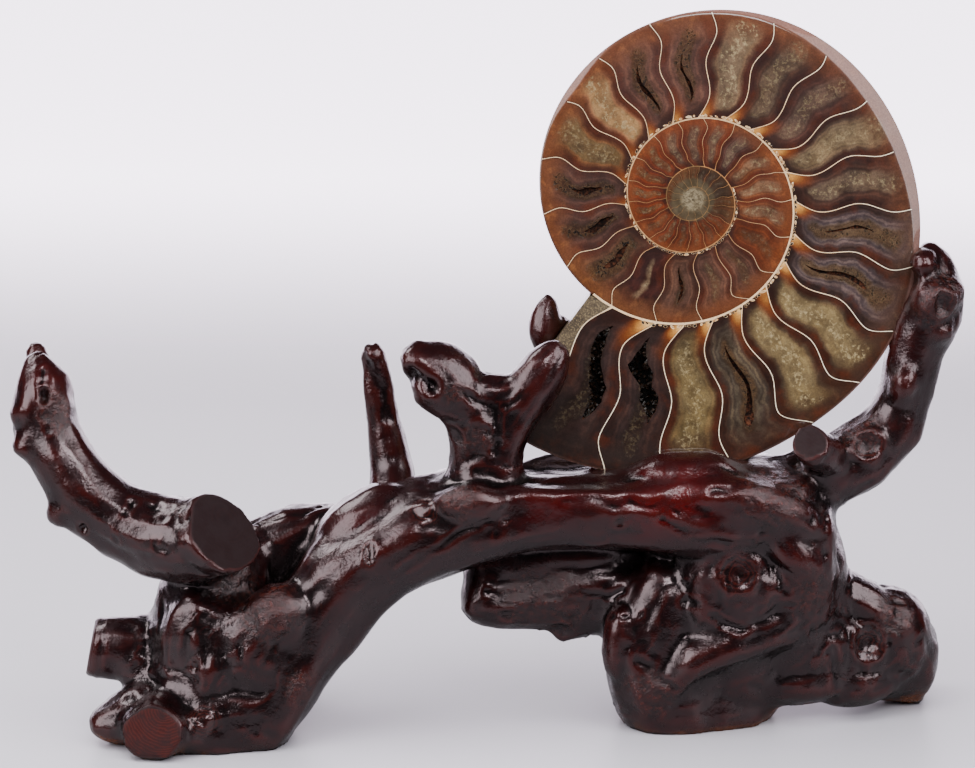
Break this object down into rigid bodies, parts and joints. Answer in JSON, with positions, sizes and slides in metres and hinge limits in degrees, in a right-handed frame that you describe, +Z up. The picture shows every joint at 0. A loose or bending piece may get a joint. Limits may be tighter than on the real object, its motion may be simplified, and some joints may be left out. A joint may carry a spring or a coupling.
{
  "type": "sawn and polished ammonite half on a root-wood stand",
  "caption": "Polished ammonite fossil half standing in the right-hand seat of a carved, lacquered root-wood display stand, with an empty seat on the left for its mirror half.",
  "frame": {"origin": "on the ground, under the middle of the object's box", "axes": "+Z up, +X to the right of someone facing the sawn face, along the stand's length, +Y away from them"},
  "size_m": [0.3409, 0.1082, 0.2571],
  "materials": {
    "polished_ammonite": "calcite-filled shell, sawn and polished to a high gloss",
    "vug_crystals": "dark drusy crystals in the open chambers",
    "lacquered_root_wood": "dark red-brown root wood under glossy lacquer"
  },
  "bodies": {
    "root": {"ammonite_half": "polished_ammonite", "first_vug_crystals": "vug_crystals", "second_vug_crystals": "vug_crystals", "trunk": "lacquered_root_wood", "right_body": "lacquered_root_wood", "left_leg": "lacquered_root_wood", "left_arm": "lacquered_root_wood", "left_arm_lobe": "lacquered_root_wood", "left_stub": "lacquered_root_wood", "left_foot": "lacquered_root_wood", "fork_left_prong": "lacquered_root_wood", "fork_right_prong": "lacquered_root_wood", "right_rear_prop": "lacquered_root_wood", "left_rear_prop": "lacquered_root_wood", "lower_root": "lacquered_root_wood", "right_foot": "lacquered_root_wood", "right_block": "lacquered_root_wood", "right_arm": "lacquered_root_wood", "right_arm_stub": "lacquered_root_wood", "rear_foot": "lacquered_root_wood"}
  },
  "joints": []
}
